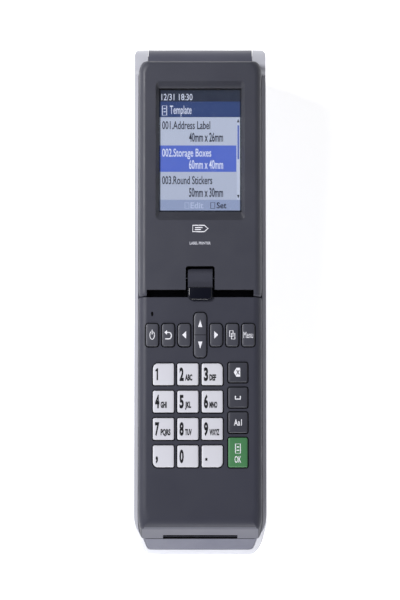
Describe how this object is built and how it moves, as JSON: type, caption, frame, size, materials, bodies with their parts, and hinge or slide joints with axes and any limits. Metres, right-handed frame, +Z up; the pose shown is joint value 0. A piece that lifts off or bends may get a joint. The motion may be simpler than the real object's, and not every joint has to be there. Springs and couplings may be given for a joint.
{
  "type": "label printer",
  "caption": "Slim tabletop label printer: pale tub, dark hinged cover with a keypad, a tilting colour display behind it and a label slot in the front lip.",
  "frame": {"origin": "centre of the footprint on the surface the printer rests on", "axes": "+X towards the user's right, +Y from the label slot to the rear hinge along the longest side, +Z up"},
  "size_m": [0.081, 0.3104, 0.0762],
  "materials": {
    "tub": "satin pale silver-white moulding",
    "cell": "shrink-wrapped battery pack",
    "steel": "turned or pressed steel",
    "charcoal": "fine-textured dark grey moulding",
    "lens": "clear window over the display",
    "screen": "lit colour display",
    "foot_rubber": "moulded rubber",
    "charcoal_trim": "fine-textured dark grey moulding",
    "nylon": "natural nylon",
    "white_key": "satin white key caps",
    "dark_key": "satin dark grey key caps",
    "green_key": "satin green key cap",
    "board": "green solder-masked board",
    "gloss_black": "polished blue-black plastic",
    "paper": "white label stock",
    "platen_rubber": "ground rubber",
    "head": "cast heat sink with a ceramic strip"
  },
  "bodies": {
    "base": {"base_shell": "tub", "front_trim": "charcoal_trim", "tear_bar": "steel", "cover_hinge_pin": "steel", "foot_front_left": "foot_rubber", "foot_front_right": "foot_rubber", "foot_rear_left": "foot_rubber", "foot_rear_right": "foot_rubber", "print_frame": "steel", "stepper_motor": "steel", "paper_guide": "charcoal", "battery_pack": "cell", "main_board": "board", "power_inlet": "gloss_black", "data_port": "steel"},
    "platen": {"platen_roller": "platen_rubber", "platen_shaft": "steel", "platen_gear": "nylon"},
    "idler": {"idler_gear": "nylon"},
    "pinion": {"motor_pinion": "steel"},
    "roll": {"label_roll": "paper"},
    "guide_left": {"roll_guide_left": "nylon"},
    "guide_right": {"roll_guide_right": "nylon"},
    "door": {"battery_door": "tub"},
    "latch_left": {"release_latch_left": "charcoal"},
    "latch_right": {"release_latch_right": "charcoal"},
    "cover": {"cover_shell": "charcoal", "cover_tray": "charcoal", "keypad_board": "board", "knuckle_cap": "gloss_black"},
    "head": {"print_head": "head"},
    "display": {"display_housing": "charcoal", "display_back": "charcoal", "display_lens": "lens", "display_module": "screen", "display_tilt_pin": "steel"},
    "key_0": {"key_0": "white_key"},
    "key_1": {"key_1": "white_key"},
    "key_2": {"key_2": "white_key"},
    "key_3": {"key_3": "white_key"},
    "key_4": {"key_4": "white_key"},
    "key_5": {"key_5": "white_key"},
    "key_6": {"key_6": "white_key"},
    "key_7": {"key_7": "white_key"},
    "key_8": {"key_8": "white_key"},
    "key_9": {"key_9": "white_key"},
    "key_back": {"key_back": "dark_key"},
    "key_backspace": {"key_backspace": "dark_key"},
    "key_comma": {"key_comma": "white_key"},
    "key_copy": {"key_copy": "dark_key"},
    "key_left": {"key_left": "dark_key"},
    "key_menu": {"key_menu": "dark_key"},
    "key_ok": {"key_ok": "green_key"},
    "key_point": {"key_point": "white_key"},
    "key_power": {"key_power": "dark_key"},
    "key_right": {"key_right": "dark_key"},
    "key_shift": {"key_shift": "dark_key"},
    "key_space": {"key_space": "dark_key"},
    "key_up_down": {"key_up_down": "dark_key"}
  },
  "joints": [
    {"name": "cover_hinge", "type": "hinge", "parent": "base", "child": "cover", "pos_m": [0, 0.1457, 0.056], "axis": [-1, 0, 0], "range_deg": [0, 80]},
    {"name": "display_tilt", "type": "hinge", "parent": "cover", "child": "display", "pos_m": [0, 0.00729, 0.05917], "axis": [1, 0, 0], "range_deg": [0, 28]},
    {"name": "platen_spin", "type": "hinge", "parent": "base", "child": "platen", "pos_m": [0, -0.138, 0.0295], "axis": [1, 0, 0], "continuous": true},
    {"name": "idler_spin", "type": "hinge", "parent": "base", "child": "idler", "pos_m": [0.032, -0.1266, 0.0181], "axis": [1, 0, 0], "continuous": true},
    {"name": "pinion_spin", "type": "hinge", "parent": "base", "child": "pinion", "pos_m": [0.028, -0.11262, 0.02007], "axis": [1, 0, 0], "continuous": true},
    {"name": "roll_spin", "type": "hinge", "parent": "base", "child": "roll", "pos_m": [0, 0.05, 0.0286], "axis": [1, 0, 0], "continuous": true},
    {"name": "guide_left_slide", "type": "slide", "parent": "base", "child": "guide_left", "axis": [-1, 0, 0], "range_m": [0, 0.008]},
    {"name": "guide_right_slide", "type": "slide", "parent": "base", "child": "guide_right", "axis": [1, 0, 0], "range_m": [0, 0.008]},
    {"name": "door_slide", "type": "slide", "parent": "base", "child": "door", "axis": [0, 1, 0], "range_m": [0, 0.012]},
    {"name": "latch_left_press", "type": "slide", "parent": "base", "child": "latch_left", "axis": [1, 0, 0], "range_m": [0, 0.0016], "stiffness_N_per_m": 600, "springref_m": -0.001},
    {"name": "latch_right_press", "type": "slide", "parent": "base", "child": "latch_right", "axis": [-1, 0, 0], "range_m": [0, 0.0016], "stiffness_N_per_m": 600, "springref_m": -0.001},
    {"name": "head_lift", "type": "hinge", "parent": "cover", "child": "head", "pos_m": [0, -0.12607, 0.04027], "axis": [-1, 0, 0], "range_deg": [0, 3], "stiffness_Nm_per_rad": 0.6, "springref_deg": -5.73},
    {"name": "key_0_press", "type": "slide", "parent": "cover", "child": "key_0", "axis": [0, 0.0872, -0.9962], "range_m": [0, 0.0012], "stiffness_N_per_m": 400, "springref_m": -0.0006},
    {"name": "key_1_press", "type": "slide", "parent": "cover", "child": "key_1", "axis": [0, 0.0872, -0.9962], "range_m": [0, 0.0012], "stiffness_N_per_m": 400, "springref_m": -0.0006},
    {"name": "key_2_press", "type": "slide", "parent": "cover", "child": "key_2", "axis": [0, 0.0872, -0.9962], "range_m": [0, 0.0012], "stiffness_N_per_m": 400, "springref_m": -0.0006},
    {"name": "key_3_press", "type": "slide", "parent": "cover", "child": "key_3", "axis": [0, 0.0872, -0.9962], "range_m": [0, 0.0012], "stiffness_N_per_m": 400, "springref_m": -0.0006},
    {"name": "key_4_press", "type": "slide", "parent": "cover", "child": "key_4", "axis": [0, 0.0872, -0.9962], "range_m": [0, 0.0012], "stiffness_N_per_m": 400, "springref_m": -0.0006},
    {"name": "key_5_press", "type": "slide", "parent": "cover", "child": "key_5", "axis": [0, 0.0872, -0.9962], "range_m": [0, 0.0012], "stiffness_N_per_m": 400, "springref_m": -0.0006},
    {"name": "key_6_press", "type": "slide", "parent": "cover", "child": "key_6", "axis": [0, 0.0872, -0.9962], "range_m": [0, 0.0012], "stiffness_N_per_m": 400, "springref_m": -0.0006},
    {"name": "key_7_press", "type": "slide", "parent": "cover", "child": "key_7", "axis": [0, 0.0872, -0.9962], "range_m": [0, 0.0012], "stiffness_N_per_m": 400, "springref_m": -0.0006},
    {"name": "key_8_press", "type": "slide", "parent": "cover", "child": "key_8", "axis": [0, 0.0872, -0.9962], "range_m": [0, 0.0012], "stiffness_N_per_m": 400, "springref_m": -0.0006},
    {"name": "key_9_press", "type": "slide", "parent": "cover", "child": "key_9", "axis": [0, 0.0872, -0.9962], "range_m": [0, 0.0012], "stiffness_N_per_m": 400, "springref_m": -0.0006},
    {"name": "key_back_press", "type": "slide", "parent": "cover", "child": "key_back", "axis": [0, 0.0872, -0.9962], "range_m": [0, 0.0012], "stiffness_N_per_m": 400, "springref_m": -0.0006},
    {"name": "key_backspace_press", "type": "slide", "parent": "cover", "child": "key_backspace", "axis": [0, 0.0872, -0.9962], "range_m": [0, 0.0012], "stiffness_N_per_m": 400, "springref_m": -0.0006},
    {"name": "key_comma_press", "type": "slide", "parent": "cover", "child": "key_comma", "axis": [0, 0.0872, -0.9962], "range_m": [0, 0.0012], "stiffness_N_per_m": 400, "springref_m": -0.0006},
    {"name": "key_copy_press", "type": "slide", "parent": "cover", "child": "key_copy", "axis": [0, 0.0872, -0.9962], "range_m": [0, 0.0012], "stiffness_N_per_m": 400, "springref_m": -0.0006},
    {"name": "key_left_press", "type": "slide", "parent": "cover", "child": "key_left", "axis": [0, 0.0872, -0.9962], "range_m": [0, 0.0012], "stiffness_N_per_m": 400, "springref_m": -0.0006},
    {"name": "key_menu_press", "type": "slide", "parent": "cover", "child": "key_menu", "axis": [0, 0.0872, -0.9962], "range_m": [0, 0.0012], "stiffness_N_per_m": 400, "springref_m": -0.0006},
    {"name": "key_ok_press", "type": "slide", "parent": "cover", "child": "key_ok", "axis": [0, 0.0872, -0.9962], "range_m": [0, 0.0012], "stiffness_N_per_m": 400, "springref_m": -0.0006},
    {"name": "key_point_press", "type": "slide", "parent": "cover", "child": "key_point", "axis": [0, 0.0872, -0.9962], "range_m": [0, 0.0012], "stiffness_N_per_m": 400, "springref_m": -0.0006},
    {"name": "key_power_press", "type": "slide", "parent": "cover", "child": "key_power", "axis": [0, 0.0872, -0.9962], "range_m": [0, 0.0012], "stiffness_N_per_m": 400, "springref_m": -0.0006},
    {"name": "key_right_press", "type": "slide", "parent": "cover", "child": "key_right", "axis": [0, 0.0872, -0.9962], "range_m": [0, 0.0012], "stiffness_N_per_m": 400, "springref_m": -0.0006},
    {"name": "key_shift_press", "type": "slide", "parent": "cover", "child": "key_shift", "axis": [0, 0.0872, -0.9962], "range_m": [0, 0.0012], "stiffness_N_per_m": 400, "springref_m": -0.0006},
    {"name": "key_space_press", "type": "slide", "parent": "cover", "child": "key_space", "axis": [0, 0.0872, -0.9962], "range_m": [0, 0.0012], "stiffness_N_per_m": 400, "springref_m": -0.0006},
    {"name": "up_down_rock", "type": "hinge", "parent": "cover", "child": "key_up_down", "pos_m": [0, -0.03008, 0.05831], "axis": [1, 0, 0], "range_deg": [-4, 4], "stiffness_Nm_per_rad": 0.1}
  ],
  "couplings": [
    {"joint": "idler_spin", "follows": "platen_spin", "ratio": -0.77778},
    {"joint": "pinion_spin", "follows": "platen_spin", "ratio": 1.4},
    {"joint": "guide_right_slide", "follows": "guide_left_slide", "ratio": 1}
  ]
}
